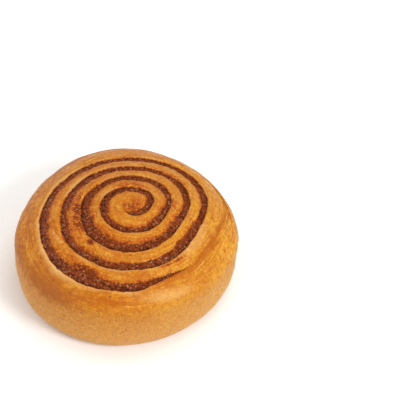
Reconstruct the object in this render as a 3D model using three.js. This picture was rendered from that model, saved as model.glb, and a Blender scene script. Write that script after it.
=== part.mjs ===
// A nut swirl bun: a sheet of yeast dough spread with ground nut filling, rolled up, cut into a
// slice and baked lying on its cut side. Two solids make it: the dough, one long strip wound into
// a swirl whose last wrap is the smooth side wall, and the nut filling, a thin wound wall that
// fills the slot between the turns and runs from the top face down to the underside.
// Millimetres, +Z up, resting on z = 0, with the origin under the middle of the bun.
import * as THREE from "three";

// Driving dimensions of the whole bun.
const BUN_RADIUS = 55;
const BUN_HEIGHT = 43.8;
const GIRTH_HEIGHT = 21; // where the side bulges out furthest
const PEAK_HEIGHT = 5.6; // how far the middle of the swirl has risen above the plain crown
const PEAK_SPREAD = 0.55; // width of that rise, as a share of the radius
const CROWN_POWER = 2.67; // roundness of the top edge: 2 is an ellipse, more is boxier
const FOOT_POWER = 3; // roundness of the bottom edge
const FOOT_RATIO = 0.87; // radius of the flat underside over the radius at the girth
const RIM_RATIO = 0.93; // where the wound top ends and the side wall begins
// The bun is a little out of round: [waves per turn, height over radius, crest in degrees].
const OUTLINE_WAVES = [
  [2, 0.036, 71],
  [3, 0.018, -10],
  [4, 0.006, -80],
];

// The swirl, seen from above. Angles grow along the roll, from its middle out to its free end.
const SWIRL_CENTRE = [1.6, -0.4];
const SWIRL_RADIUS = 45.6; // radius of the filling line where the angle is 0
const PITCH = 9.3; // dough and filling together, from one turn to the next
const SWIRL_WAVES = [
  [1, 0.031, -171],
  [2, 0.078, 60],
  [3, 0.023, 44],
  [4, 0.012, 42],
];
// Where the line strays from its curve: [degrees along the roll, millimetres out, degrees of reach].
const STRAY_PLACES = [[-61, -1.9, 13], [-868, -1, 28]];
const FILLING_END = degrees(-38); // where the filling runs out, short of the edge of the sheet
const TAIL_START = degrees(-5); // from here on the bare edge of the sheet leans out to the side
const TAIL_END = degrees(75); // where that edge is sealed to the side of the bun
const CORE_RADIUS = 5.5; // the filling starts this far from the middle

// The filling and the dough beside it.
const FILLING_HALF = 1.4; // half the thickness of the filling
// Where it was spread thicker or thinner: [degrees along the roll, change of half, degrees of reach].
const FILLING_PLACES = [
  [-112, 0.45, 24],
  [-200, -0.3, 35],
  [-400, 0.5, 30],
  [-470, -0.15, 30],
  [-845, 1, 40],
];
const OUTER_TAPER = degrees(40); // length over which it thins out towards its outer end
const INNER_TAPER = degrees(60);
const GAP = 0.3; // clearance between filling and dough
const RIDGE = 0.95; // how far a turn of dough stands above its edges
const LIP = 0.85; // the same for the last wrap, just outside the filling
const CREST = 0.3; // where across a turn the ridge is highest, from its inner edge
const SOFT_CREST = 0.6; // the same for the last wrap, outside the bare edge of the sheet
const GROOVE = 0.45; // how far the edges of the dough dip beside the filling and at a sealed line
const THINNEST_HALF = 0.15; // the filling stops where it would be thinner than this
const FILLING_LEVEL = -0.55; // height of its edges against the dough's plain top
const FILLING_BULGE = 0.5; // how far its middle stands above its edges
const LUMP = 0.3; // unevenness of the nut filling
const UNDERSIDE_RECESS = 0.4; // the filling stops this far above the dough's flat underside
const TUCK_HALFWAY = 0.975; // the turns draw in below the girth, as shares of their place on top
const TUCK = 0.92;

// How finely the surfaces are divided.
const COLUMNS = 44; // steps for each full turn
const ACROSS_DOUGH = [0, 0.13, 0.35, 0.75, 1];
const ACROSS_WALL = [0, 0.12, 0.3, 0.62, 1];
const ACROSS_FILLING = [0, 0.33, 0.67, 1];
const ACROSS_UNDERSIDE = [0, 0.5, 1];
const WALL_STEPS_UP = 4;
const WALL_STEPS_DOWN = 5;
const SLOT_LEVELS = [1, 0.5, 0]; // shares of the girth's height

const TURN = 2 * Math.PI;
const growth = PITCH / TURN;
const innerAngle = -SWIRL_RADIUS / growth;
const lastColumn = Math.round(((TAIL_END + TURN - innerAngle) / TURN) * COLUMNS);
const joinColumn = lastColumn - COLUMNS;

function degrees(d) {
  return (d * Math.PI) / 180;
}

function smooth(t) {
  const s = Math.min(1, Math.max(0, t));
  return s * s * (3 - 2 * s);
}

// Rises from 0 to 1 and levels off.
function swell(t) {
  return Math.sin((Math.PI / 2) * Math.min(1, Math.max(0, t)));
}

function mix(a, b, t) {
  return a + (b - a) * t;
}

// Sum of waves round the turn, each given as [waves per turn, height, crest in degrees].
function waves(list, angle) {
  const wave = ([count, height, crest]) => height * Math.cos(count * (angle - degrees(crest)));
  return list.reduce((sum, each) => sum + wave(each), 0);
}

// What a table of places along the roll adds at an angle, in millimetres.
function along(places, angle) {
  const share = (at, reach) => Math.exp(-(((angle - degrees(at)) / degrees(reach)) ** 2));
  return places.reduce((sum, [at, more, reach]) => sum + more * share(at, reach), 0);
}

// Radius of the bun at its girth, seen from above.
function girthRadius(angle) {
  return BUN_RADIUS * (1 + waves(OUTLINE_WAVES, angle));
}

// Height of the risen top over a point of the plan, without ridges or grooves.
function topHeight(x, y) {
  const out = Math.min(1, Math.hypot(x, y) / girthRadius(Math.atan2(y, x)));
  const crown = Math.pow(1 - Math.pow(out, CROWN_POWER), 1 / CROWN_POWER);
  const peak = PEAK_HEIGHT * Math.exp(-((out / PEAK_SPREAD) ** 2));
  return GIRTH_HEIGHT + (BUN_HEIGHT - PEAK_HEIGHT - GIRTH_HEIGHT) * crown + peak;
}

// Angle along the roll of a column of the winding. Column 0 is the middle of the swirl.
function angleOf(column) {
  return innerAngle + (column / COLUMNS) * TURN;
}

// A point of the plan at a distance from the swirl's centre.
function planPoint(angle, radius) {
  return [SWIRL_CENTRE[0] + radius * Math.cos(angle), SWIRL_CENTRE[1] + radius * Math.sin(angle)];
}

// Distance from the swirl's centre to the rim, where the top turns over into the side wall.
function rimRadius(angle) {
  let near = 0;
  let far = 2 * BUN_RADIUS;
  for (let i = 0; i < 40; i++) {
    const middle = (near + far) / 2;
    const [x, y] = planPoint(angle, middle);
    if (Math.hypot(x, y) < RIM_RATIO * girthRadius(Math.atan2(y, x))) near = middle;
    else far = middle;
  }
  return near;
}

// The line between one turn and the next: the filling's middle, then the sealed tail, then the rim.
function lineRadius(column) {
  const angle = angleOf(column);
  if (column >= joinColumn) return rimRadius(angle);
  const curve = (SWIRL_RADIUS + growth * angle) * (1 + waves(SWIRL_WAVES, angle));
  const wound = curve + along(STRAY_PLACES, angle);
  const tail = smooth((angle - TAIL_START) / (angleOf(joinColumn) - TAIL_START));
  return mix(wound, rimRadius(angle), tail);
}

const firstFilled = Math.round((CORE_RADIUS / PITCH) * COLUMNS);
const lastFilled = Math.round(((FILLING_END - innerAngle) / TURN) * COLUMNS);

// Half the width of the slot in the dough: thicker and thinner as it was spread, and 0 past its ends.
function slotHalf(column) {
  if (column <= firstFilled || column >= lastFilled) return 0;
  const angle = angleOf(column);
  const fromStart = swell((angle - angleOf(firstFilled)) / INNER_TAPER);
  const fromEnd = Math.min(1, (angleOf(lastFilled) - angle) / OUTER_TAPER);
  return (FILLING_HALF + along(FILLING_PLACES, angle)) * fromStart * fromEnd;
}

// How far a turn of dough rises at a share of its width: steep beside the filling it lies around
// and soft beside a bare edge, then rounding off more gently towards the filling that lies around it.
function ridgeHeight(column, share, width) {
  const bareEdge = smooth((column - COLUMNS - lastFilled) / (COLUMNS / 18) + 1);
  const steep = mix(1 - (1 - Math.min(1, share / CREST)) ** 2.5, smooth(share / SOFT_CREST), bareEdge);
  const gentle = 1 - Math.max(0, (share - CREST) / (1 - CREST)) ** 2.2;
  const lastWrap = smooth((column - joinColumn) / (COLUMNS / 6));
  const falling = mix(gentle, (1 - share) ** 1.5 / (1 - CREST) ** 1.5, share > CREST ? lastWrap : 0);
  return mix(RIDGE, LIP, lastWrap) * Math.min(1, width / 5) * steep * falling;
}

// Depth of the crease on a line with no filling in it: full beside the filling, gone at the rim.
function creaseDepth(column) {
  const outwards = (angleOf(column) - TAIL_START) / (angleOf(joinColumn) - TAIL_START);
  return GROOVE * Math.min(1, column / firstFilled) * (1 - smooth(outwards));
}

// The inner turns stand straight down to the girth and then draw in towards the underside.
function tuckAt(level) {
  return level >= 0.5 ? mix(TUCK_HALFWAY, 1, 2 * level - 1) : mix(TUCK, TUCK_HALFWAY, 2 * level);
}

// Collects corners and triangles, and leaves out triangles that have closed up to nothing.
class Shell {
  corners = [];
  faces = [];

  corner(x, y, z) {
    this.corners.push(x, y, z);
    return this.corners.length / 3 - 1;
  }

  triangle(a, b, c) {
    if (a !== b && b !== c && c !== a) this.faces.push(a, b, c);
  }

  quad(a, b, c, d) {
    this.triangle(a, b, c);
    this.triangle(a, c, d);
  }

  // Joins two rows of corners. Along the rows and then across them turns left, seen from outside.
  strip(first, second) {
    for (let i = 0; i + 1 < first.length; i++) {
      this.quad(first[i], first[i + 1], second[i + 1], second[i]);
    }
  }

  // Corners down one side of the slot, from its edge on top to the underside or just above it.
  slotSide(column, radius, edgeHeight, lowest) {
    const [x, y] = planPoint(angleOf(column), radius);
    const below = SLOT_LEVELS.map((level) => {
      const tuck = tuckAt(level);
      return this.corner(x * tuck, y * tuck, Math.max(lowest, level * GIRTH_HEIGHT));
    });
    return [this.corner(x, y, topHeight(x, y) + edgeHeight), ...below];
  }

  geometry() {
    const made = new THREE.BufferGeometry();
    made.setAttribute("position", new THREE.Float32BufferAttribute(this.corners, 3));
    made.setIndex(this.faces);
    made.computeVertexNormals();
    return made;
  }
}

// The dough: a wound strip of top face, the same strip below, the slot's two sides and the wall.
class Dough extends Shell {
  top = [];
  under = [];
  wall = [];
  nearSide = []; // the slot's side nearer the middle of the swirl
  farSide = [];

  constructor() {
    super();
    const [x, y] = SWIRL_CENTRE;
    const above = this.corner(x, y, topHeight(x, y));
    const below = this.corner(x * TUCK, y * TUCK, 0);
    this.middle = { radius: 0, dip: 0, above, below };
    for (let column = 0; column <= lastColumn; column++) this.addColumn(column);
    this.wall[lastColumn] = this.wall[joinColumn];
    this.closeSlotEnd(firstFilled);
    this.closeSlotEnd(lastFilled);
    this.joinColumns();
  }

  // A column of the strip, from the turn before it out to the line that follows it.
  addColumn(column) {
    const inner = this.innerEdge(column);
    const outer = column === lastColumn ? inner : this.outerEdge(column);
    this.top[column] = this.topRow(column, inner, outer);
    this.under[column] = this.underRow(inner, outer);
  }

  innerEdge(column) {
    const line = column - COLUMNS;
    if (line <= 0) return this.middle;
    const half = slotHalf(line);
    if (half > 0) return this.slotEdge(this.farSide, line, lineRadius(line) + half);
    const above = this.top[line].at(-1);
    const below = this.under[line].at(-1);
    return { radius: lineRadius(line), dip: creaseDepth(line), above, below };
  }

  outerEdge(column) {
    if (column === 0) return this.middle;
    const half = slotHalf(column);
    if (half > 0) return this.slotEdge(this.nearSide, column, lineRadius(column) - half);
    return column < joinColumn ? this.sealedEdge(column) : this.rimEdge(column);
  }

  // Dough beside the filling.
  slotEdge(side, column, radius) {
    side[column] = this.slotSide(column, radius, -GROOVE, 0);
    return { radius, dip: GROOVE, above: side[column][0], below: side[column].at(-1) };
  }

  // Dough sealed to dough, with only a crease on top.
  sealedEdge(column) {
    const radius = lineRadius(column);
    const dip = creaseDepth(column);
    const [x, y] = planPoint(angleOf(column), radius);
    const outwards = smooth((column - lastFilled) / (joinColumn - lastFilled));
    const tuck = mix(TUCK, FOOT_RATIO / RIM_RATIO, outwards);
    const above = this.corner(x, y, topHeight(x, y) - dip);
    return { radius, dip, above, below: this.corner(x * tuck, y * tuck, 0) };
  }

  // The rim of the last wrap, with the side wall down to the foot.
  rimEdge(column) {
    const radius = lineRadius(column);
    const [x, y] = planPoint(angleOf(column), radius);
    const above = this.corner(x, y, topHeight(x, y));
    this.wall[column] = [above, ...this.wallRow(Math.atan2(y, x))];
    return { radius, dip: 0, above, below: this.wall[column].at(-1) };
  }

  // Corners down the side: over the shoulder to the girth, then round the foot to the underside.
  wallRow(angle) {
    const girth = girthRadius(angle);
    const at = (out, z) => this.corner(girth * out * Math.cos(angle), girth * out * Math.sin(angle), z);
    const shoulder = Math.acos(RIM_RATIO ** (CROWN_POWER / 2));
    const row = [];
    for (let i = 1; i <= WALL_STEPS_UP; i++) {
      const out = Math.cos(shoulder * (1 - i / WALL_STEPS_UP)) ** (2 / CROWN_POWER);
      row.push(at(out, topHeight(girth * out * Math.cos(angle), girth * out * Math.sin(angle))));
    }
    for (let i = 1; i < WALL_STEPS_DOWN; i++) {
      const turned = ((i / WALL_STEPS_DOWN) * Math.PI) / 2;
      const out = mix(FOOT_RATIO, 1, Math.cos(turned) ** (2 / FOOT_POWER));
      row.push(at(out, GIRTH_HEIGHT * (1 - Math.sin(turned) ** (2 / FOOT_POWER))));
    }
    row.push(at(FOOT_RATIO, 0));
    return row;
  }

  topRow(column, inner, outer) {
    const shares = column > joinColumn ? ACROSS_WALL : ACROSS_DOUGH;
    return shares.map((share) => {
      if (share === 0 || inner === outer) return inner.above;
      if (share === 1) return outer.above;
      const [x, y] = planPoint(angleOf(column), mix(inner.radius, outer.radius, share));
      const ridge = ridgeHeight(column, share, outer.radius - inner.radius);
      const dip = mix(inner.dip, outer.dip, share) * Math.abs(2 * share - 1) ** 4;
      return this.corner(x, y, topHeight(x, y) + ridge - dip);
    });
  }

  underRow(inner, outer) {
    return ACROSS_UNDERSIDE.map((share) => {
      if (share === 0 || inner === outer) return inner.below;
      if (share === 1) return outer.below;
      const [x0, y0] = this.corners.slice(3 * inner.below);
      const [x1, y1] = this.corners.slice(3 * outer.below);
      return this.corner(mix(x0, x1, share), mix(y0, y1, share), 0);
    });
  }

  // The slot's two sides meet in one upright line at each end of the filling.
  closeSlotEnd(column) {
    const [, ...below] = this.slotSide(column, lineRadius(column), 0, 0);
    const between = below.slice(0, -1);
    const line = [this.top[column].at(-1), ...between, this.under[column].at(-1)];
    this.nearSide[column] = line;
    this.farSide[column] = line;
  }

  joinColumns() {
    for (let column = 0; column < lastColumn; column++) {
      this.strip(this.top[column], this.top[column + 1]);
      this.strip(this.under[column + 1], this.under[column]);
      if (column >= joinColumn) this.strip(this.wall[column], this.wall[column + 1]);
    }
    for (let column = firstFilled; column < lastFilled; column++) {
      this.strip(this.nearSide[column], this.nearSide[column + 1]);
      this.strip(this.farSide[column + 1], this.farSide[column]);
    }
  }
}

// Lumps of ground nut in the filling's top: the same ones each time.
function lump(column, i) {
  const wave = Math.sin(column * 12.9898 + i * 78.233) * 43758.5453;
  return LUMP * (2 * (wave - Math.floor(wave)) - 1);
}

// The nut filling: a wound wall that follows the slot, with clearance on both sides.
class Filling extends Shell {
  constructor() {
    super();
    const rows = [];
    for (let column = firstFilled + 1; column < lastFilled; column++) {
      const half = slotHalf(column) - GAP;
      if (half >= THINNEST_HALF) rows.push(this.row(column, half));
    }
    for (let i = 0; i + 1 < rows.length; i++) this.joinRows(rows[i], rows[i + 1]);
    this.cap(rows[0], (a, b, c) => this.triangle(a, b, c));
    this.cap(rows.at(-1), (a, b, c) => this.triangle(a, c, b));
  }

  // The corners of one upright section: its two sides and the top between them.
  row(column, half) {
    const middle = lineRadius(column);
    const near = this.slotSide(column, middle - half, FILLING_LEVEL, UNDERSIDE_RECESS);
    const far = this.slotSide(column, middle + half, FILLING_LEVEL, UNDERSIDE_RECESS);
    const top = ACROSS_FILLING.map((share) => {
      if (share === 0) return near[0];
      if (share === 1) return far[0];
      const across = 2 * share - 1;
      const [x, y] = planPoint(angleOf(column), middle + half * across);
      const raised = FILLING_LEVEL + FILLING_BULGE * (1 - across ** 2);
      return this.corner(x, y, topHeight(x, y) + raised + lump(column, share) * Math.min(1, half));
    });
    return { top, near, far };
  }

  joinRows(a, b) {
    this.strip(a.top, b.top);
    this.strip(a.far, b.far);
    this.strip(b.near, a.near);
    this.quad(b.near.at(-1), b.far.at(-1), a.far.at(-1), a.near.at(-1));
  }

  // Closes an end with a fan under the top edge and a ladder down from it.
  cap({ top, near, far }, face) {
    for (let i = 0; i + 1 < top.length; i++) face(near[1], top[i + 1], top[i]);
    face(near[1], far[1], far[0]);
    for (let i = 1; i + 1 < near.length; i++) {
      face(near[i], near[i + 1], far[i + 1]);
      face(near[i], far[i + 1], far[i]);
    }
  }
}

const crust = new THREE.MeshStandardMaterial({ color: "#d68c39", roughness: 0.55, metalness: 0 });
const nutPaste = new THREE.MeshStandardMaterial({ color: "#7a4226", roughness: 0.7, metalness: 0 });

function named(name, geometry, material) {
  const mesh = new THREE.Mesh(geometry, material);
  mesh.name = name;
  return mesh;
}

const dough = named("dough", new Dough().geometry(), crust);
const filling = named("nut_filling", new Filling().geometry(), nutPaste);

// The origin goes under the middle of the bun's outline.
dough.geometry.computeBoundingBox();
const middle = dough.geometry.boundingBox.getCenter(new THREE.Vector3());
const bun = new THREE.Group();
bun.add(dough, filling);
bun.position.set(-middle.x, -middle.y, 0);

export default bun;
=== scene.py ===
"""The looks of a nut swirl bun: baked yeast dough wound round a grainy ground nut filling."""

import math
from functools import partial
from typing import NamedTuple

import bpy
import numpy as np
from mathutils import Matrix, Vector


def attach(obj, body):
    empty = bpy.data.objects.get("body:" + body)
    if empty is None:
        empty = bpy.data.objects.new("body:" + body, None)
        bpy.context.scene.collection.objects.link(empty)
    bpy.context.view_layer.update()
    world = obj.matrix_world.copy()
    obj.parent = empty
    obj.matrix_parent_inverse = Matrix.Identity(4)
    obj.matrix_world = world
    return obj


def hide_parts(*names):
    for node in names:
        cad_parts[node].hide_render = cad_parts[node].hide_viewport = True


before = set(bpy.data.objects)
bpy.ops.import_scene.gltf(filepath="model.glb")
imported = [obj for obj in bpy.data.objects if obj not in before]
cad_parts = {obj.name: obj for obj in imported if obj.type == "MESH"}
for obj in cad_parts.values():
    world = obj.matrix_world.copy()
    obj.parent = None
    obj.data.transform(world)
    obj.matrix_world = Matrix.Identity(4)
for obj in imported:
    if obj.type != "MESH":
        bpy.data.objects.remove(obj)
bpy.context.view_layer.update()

MM = 0.001

# Sizes of the bun as the solids have them, in millimetres and degrees.

BUN_RADIUS = 55
BUN_HEIGHT = 43.8
GIRTH_HEIGHT = 21
PEAK_HEIGHT = 5.6
PEAK_SPREAD = 0.55
CROWN_POWER = 2.67
FOOT_POWER = 3
FOOT_RATIO = 0.87
RIM_RATIO = 0.93
# Waves: how many go round the bun, their height as a share of the radius, degrees of a crest.
OUTLINE_WAVES = [(2, 0.036, 71), (3, 0.018, -10), (4, 0.006, -80)]
OUTLINE_SHIFT = np.array([-0.784, -0.43, 0])  # brings the middle of the outline over the origin

SWIRL_CENTRE = (1.6, -0.4)
SWIRL_RADIUS = 45.6
PITCH = 9.3
SWIRL_WAVES = [(1, 0.031, -171), (2, 0.078, 60), (3, 0.023, 44), (4, 0.012, 42)]
FILLING_END = math.radians(-38)
TAIL_START = math.radians(-5)
TAIL_END = math.radians(75)
CORE_RADIUS = 5.5

# Places along the roll: degrees along it, what is added there, degrees of reach.
STRAY_PLACES = [(-61, -1.9, 13), (-868, -1, 28)]
FILLING_HALF = 1.4
FILLING_PLACES = [(-112, 0.45, 24), (-200, -0.3, 35), (-400, 0.5, 30), (-470, -0.15, 30),
                  (-845, 1, 40)]
OUTER_TAPER = math.radians(40)
INNER_TAPER = math.radians(60)
RIDGE = 0.95
LIP = 0.85
CREST = 0.3
SOFT_CREST = 0.6
FULL_RIDGE_WIDTH = 5
GROOVE = 0.45
TUCK = 0.92
TUCK_HALFWAY = 0.975
UNDERSIDE_RECESS = 0.4

# Finer than the solids.

COLUMNS = 360  # steps for each full turn
ACROSS = 20  # points across a turn of dough
DOWN_THE_SIDE = 64  # points down the side
LAST_WRAP_BLEND = COLUMNS / 6  # steps over which the last wrap takes its rounder shape
TAIL_BLEND = COLUMNS / 18  # steps over which the closed slot turns into the sheet's bare edge
ENDING_LENGTH = COLUMNS / 4  # steps of the filling's outer end, where it sinks
LIP_DROP = 0.1  # depth of the stretched edge on the filling's outer side
TAIL_CREASE = 1.0  # depth of the soft fold where the bare edge of the sheet lies
TAIL_REACH = 4.0
# Toast along the bare edge of the sheet, partly painted shade down in the soft fold.
TAIL_TOAST_AND_SHADE = 0.7
WIDE_SLOT = 1.2  # half width of the filling below which it sinks and its stain narrows
STAINED_SLOT = 0.8  # half width of the filling from which it stains the dough fully
SINKING = 0.9  # share of the fold's depth that the filling's outer end sinks
FOLD_START = -104  # the browned band along the fold, outwards of it, partly painted shade in the crease
FOLD_LENGTH = 40
FOLD_OUT = 1.1
FOLD_HALF = 2.6
FOLD_TOAST_AND_SHADE = 0.92
EDGE_REACH = 0.9  # how far the dough's rounding reaches in from the filling
LIP_EDGE = 0.6  # the filling's stain on the lip, before the lip turns pale
STAIN_STRENGTH = 0.85
STRAY_BITS = 0.35  # how thickly nut bits lie on stained dough, against the filling
SIDE_BLEND = 8  # mm down the side over which the top's skin turns into the side's

# How pale and wide the lip is, how wide the stain beside the filling and where syrup beads, partly painted
# glints, lie, each with places along the roll.
PALE_LIP = 0.25
PALE_PLACES = [(-130, 0.7, 24), (-170, 0.3, 14), (-200, 0.5, 25), (-440, 0.3, 26), (-380, 0.35, 24),
               (-517, -0.3, 30), (-565, 0.5, 22), (-880, -0.3, 40)]
LIP_WIDTH = 1.6
LIP_PLACES = [(-135, 1.0, 30), (-380, 2.0, 26), (-575, 0.6, 20)]
STAIN_WIDTH = 1.2
NARROWEST_STAIN = 0.6
STAIN_PLACES = [(-112, 0.9, 13), (-170, 1.2, 25), (-210, 1.2, 25), (-400, -0.7, 22), (-500, 0.6, 16),
                (-530, 1.3, 25), (-570, 0.9, 25), (-830, 1.3, 60)]
WET_PLACES = [(-396, 0.7, 9), (-418, 1.0, 7), (-440, 0.3, 9), (-86, 0.5, 5), (-100, 0.4, 4),
              (-150, 0.4, 6)]

# Random rise and fall along the roll: its size, the mm between its steps, its seed.
HALF_DRIFTS = [(0.14, 12, 21)]
NEAR_SHIFT = 0.1
NEAR_DRIFTS = [(0.4, 5.3, 4), (0.35, 2.1, 3), (0.2, 0.9, 9)]
FAR_DRIFTS = [(0.22, 7, 6), (0.16, 2.2, 5), (0.1, 1.0, 10)]
RIDGE_DRIFTS = [(0.25, 17, 7), (0.12, 6, 8)]
PALE_DRIFTS = [(0.25, 6, 13)]
LIP_DRIFTS = [(0.5, 4, 15)]
STAIN_DRIFTS = [(0.7, 5, 14)]

# Places that the oven browned: degrees round, mm out from the rim, degrees and mm of reach, strength.
BROWNED = [
    (-124, 3.0, 20, 5.0, 1.05),
    (-104, 0.4, 34, 2.6, 0.75),
    (-96, -0.4, 12, 2.2, 1.1),
    (-168, -3.0, 26, 2.2, 0.5),
    (-178, 1.5, 40, 3.0, 0.4),
    (130, -0.5, 30, 2.6, 1.0),
    (150, 0.0, 30, 3.5, 0.5),
    (-150, 4.0, 14, 5.0, 0.6),
    (-72, -1.5, 14, 3.0, 0.45),
    (110, 1.0, 45, 4.0, 0.8),
    (40, 2.0, 50, 4.0, 0.45),
]
# Places where the skin was stretched pale, in the same way as those that the syrup soaked.
# Those at -62, -147 and -118 degrees are painted highlights, where the key light catches the shoulder
# and the ridge crests.
PALE_SKIN_AND_HIGHLIGHTS = [(-62, 49.0, 16, 2.6, 0.55), (-22, 36.5, 22, 1.6, 0.35), (-84, 47.5, 8, 1.2, 0.5),
             (-147, 39.3, 9, 1.4, 0.4), (-118, 38.6, 10, 1.3, 0.3)]
# Places that the nut syrup soaked: degrees round, mm from the swirl's middle, reaches, strength.
SOAKED = [
    (-112, 42.8, 12, 2.2, 1.3),
    (-146, 43.5, 8, 1.4, 0.8),
    (-131, 44.0, 6, 1.2, 0.7),
    (-170, 40.5, 24, 1.2, 0.55),
    (150, 38.2, 20, 1.5, 0.7),
    (-148, 27.2, 14, 2.8, 1.1),
    (-168, 26.2, 12, 2.6, 1.1),
    (-165, 31.0, 16, 2.4, 0.45),
    (-140, 32.0, 14, 2.2, 0.4),
    (-150, 38.0, 8, 1.3, 0.4),
    (-125, 40.6, 7, 1.2, 0.45),
    (-123, 29.7, 3, 1.1, 2.2),
    (-137, 35.8, 12, 1.9, 0.9),
    (-158, 34.0, 14, 1.2, 0.75),
    (-171, 39.6, 2, 0.6, 1.5),
    (-45, 36.4, 5, 0.6, 1.1),
    (-56, 36.8, 6, 0.5, 0.9),
    (175, 26.0, 14, 1.8, 0.6),
    (20, 20.0, 25, 2.0, 0.5),
    (60, 32.0, 20, 2.0, 0.5),
    (100, 14.0, 40, 2.0, 0.6),
    (-60, 3.0, 120, 2.2, 0.8),
]

TURN = 2 * math.pi
growth = PITCH / TURN
inner_angle = -SWIRL_RADIUS / growth
last_column = round((TAIL_END + TURN - inner_angle) / TURN * COLUMNS)
join_column = last_column - COLUMNS
first_filled = round(CORE_RADIUS / PITCH * COLUMNS)
last_filled = round((FILLING_END - inner_angle) / TURN * COLUMNS)


def smooth(t):
    s = np.clip(t, 0, 1)
    return s * s * (3 - 2 * s)


def swell(t):
    return np.sin(math.pi / 2 * np.clip(t, 0, 1))


def mix(a, b, t):
    return a + (b - a) * t


def drift(position, spacing, seed):
    """Smooth random rise and fall from -1 to 1 along a length, new every spacing."""
    knots = np.random.default_rng(seed).uniform(-1, 1, 4096)
    cell = np.floor(np.asarray(position) / spacing).astype(int)
    part = smooth(np.asarray(position) / spacing - cell)
    return mix(knots[cell % 4096], knots[(cell + 1) % 4096], part)


def waves(table, angle):
    return sum(height * np.cos(count * (angle - math.radians(crest))) for count, height, crest in table)


def drifts(start, table):
    """A value with what a table of drifts adds to it along the roll."""
    return sum((size * drift(LENGTH, spacing, seed) for size, spacing, seed in table), start)


def along(table, angle):
    """What a table of places along the roll adds at each angle."""
    return sum(more * np.exp(-(((np.degrees(angle) - at) / reach) ** 2)) for at, more, reach in table)


def nearness(places, angle, out):
    """How much of the strongest of some places reaches each point."""
    most = np.zeros(np.broadcast(angle, out).shape)
    for degrees, middle, round_reach, out_reach, strength in places:
        turned = np.abs((np.degrees(angle) - degrees + 180) % 360 - 180) / round_reach
        most = np.maximum(most, strength * np.exp(-(turned**2) - ((out - middle) / out_reach) ** 2))
    return most


def girth_radius(angle):
    return BUN_RADIUS * (1 + waves(OUTLINE_WAVES, angle))


def top_height(x, y):
    out = np.minimum(1, np.hypot(x, y) / girth_radius(np.arctan2(y, x)))
    crown = (1 - out**CROWN_POWER) ** (1 / CROWN_POWER)
    peak = PEAK_HEIGHT * np.exp(-((out / PEAK_SPREAD) ** 2))
    return GIRTH_HEIGHT + (BUN_HEIGHT - PEAK_HEIGHT - GIRTH_HEIGHT) * crown + peak


def angle_of(column):
    return inner_angle + np.asarray(column) / COLUMNS * TURN


def plan_point(angle, radius):
    return SWIRL_CENTRE[0] + radius * np.cos(angle), SWIRL_CENTRE[1] + radius * np.sin(angle)


def in_frame(points):
    """Points round the bun's own middle, in millimetres, as the frame has them, in metres."""
    return [tuple(point) for point in (np.asarray(points) + OUTLINE_SHIFT) * MM]


def rim_radius(angle):
    near, far = np.zeros_like(angle), np.full_like(angle, 2.0 * BUN_RADIUS)
    for _ in range(40):
        middle = (near + far) / 2
        x, y = plan_point(angle, middle)
        inside = np.hypot(x, y) < RIM_RATIO * girth_radius(np.arctan2(y, x))
        near, far = np.where(inside, middle, near), np.where(inside, far, middle)
    return near


def line_radius(column):
    angle = angle_of(column)
    curve = (SWIRL_RADIUS + growth * angle) * (1 + waves(SWIRL_WAVES, angle))
    wound = curve + along(STRAY_PLACES, angle)
    tail = smooth((angle - TAIL_START) / (angle_of(join_column) - TAIL_START))
    return mix(wound, rim_radius(angle), tail)


def slot_half(column):
    angle = angle_of(column)
    from_start = swell((angle - angle_of(first_filled)) / INNER_TAPER)
    from_end = np.clip((angle_of(last_filled) - angle) / OUTER_TAPER, 0, 1)
    return (FILLING_HALF + along(FILLING_PLACES, angle)) * from_start * from_end


all_columns = np.arange(last_column + 1)
ANGLE = angle_of(all_columns)
LINE = line_radius(all_columns)
LENGTH = np.concatenate([[0], np.cumsum(LINE[1:] * TURN / COLUMNS)])  # along the roll
HALF = slot_half(all_columns) * drifts(1, HALF_DRIFTS)
NEAR_RAG = drifts(NEAR_SHIFT, NEAR_DRIFTS)
FAR_RAG = drifts(0, FAR_DRIFTS)
HIGHER = drifts(1, RIDGE_DRIFTS)
PALE = np.clip(drifts(PALE_LIP + along(PALE_PLACES, ANGLE), PALE_DRIFTS), 0, 1)
PALE_REACH = drifts(LIP_WIDTH + along(LIP_PLACES, ANGLE), LIP_DRIFTS)
STAIN_REACH = np.maximum(NARROWEST_STAIN, drifts(STAIN_WIDTH + along(STAIN_PLACES, ANGLE), STAIN_DRIFTS))
STAIN_REACH *= np.clip(HALF / WIDE_SLOT, 0.3, 1)
outwards = (ANGLE - TAIL_START) / (angle_of(join_column) - TAIL_START)
CREASE = np.minimum(1, all_columns / first_filled) * (1 - smooth(outwards))
TAIL = smooth((all_columns - last_filled) / TAIL_BLEND + 1)
ENDING = (1 - np.minimum(1, HALF / WIDE_SLOT)) * (all_columns > last_filled - ENDING_LENGTH)
FOLD = smooth((np.degrees(ANGLE) - FOLD_START) / FOLD_LENGTH) * CREASE


def ridge_height(column, share, width):
    """How far a turn of dough stands over the crown, at shares of its width from its inner edge."""
    bare_edge = TAIL[max(0, column - COLUMNS)]
    steep = mix(1 - (1 - np.minimum(1, share / CREST)) ** 2.5, smooth(share / SOFT_CREST), bare_edge)
    gentle = 1 - np.maximum(0, (share - CREST) / (1 - CREST)) ** 2.2
    last_wrap = smooth((column - join_column) / LAST_WRAP_BLEND)
    shoulder = ((1 - share) / (1 - CREST)) ** 1.5
    falling = mix(gentle, shoulder, np.where(share > CREST, last_wrap, 0))
    highest = mix(RIDGE, LIP, last_wrap) * min(1, width / FULL_RIDGE_WIDTH)
    return highest * steep * falling


# What each point of the dough knows, from 0 to about 1: how pale it is, from the lip, stretched skin
# and painted highlights, how much it is stained by the filling beside it, toasted by the oven, with
# painted shade in the fold, and soaked by syrup, how far it belongs to the bun's side, and how thickly
# stray nut bits lie there.
FACTS = ("pale", "stain", "toast", "soak", "side", "bits")


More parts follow.
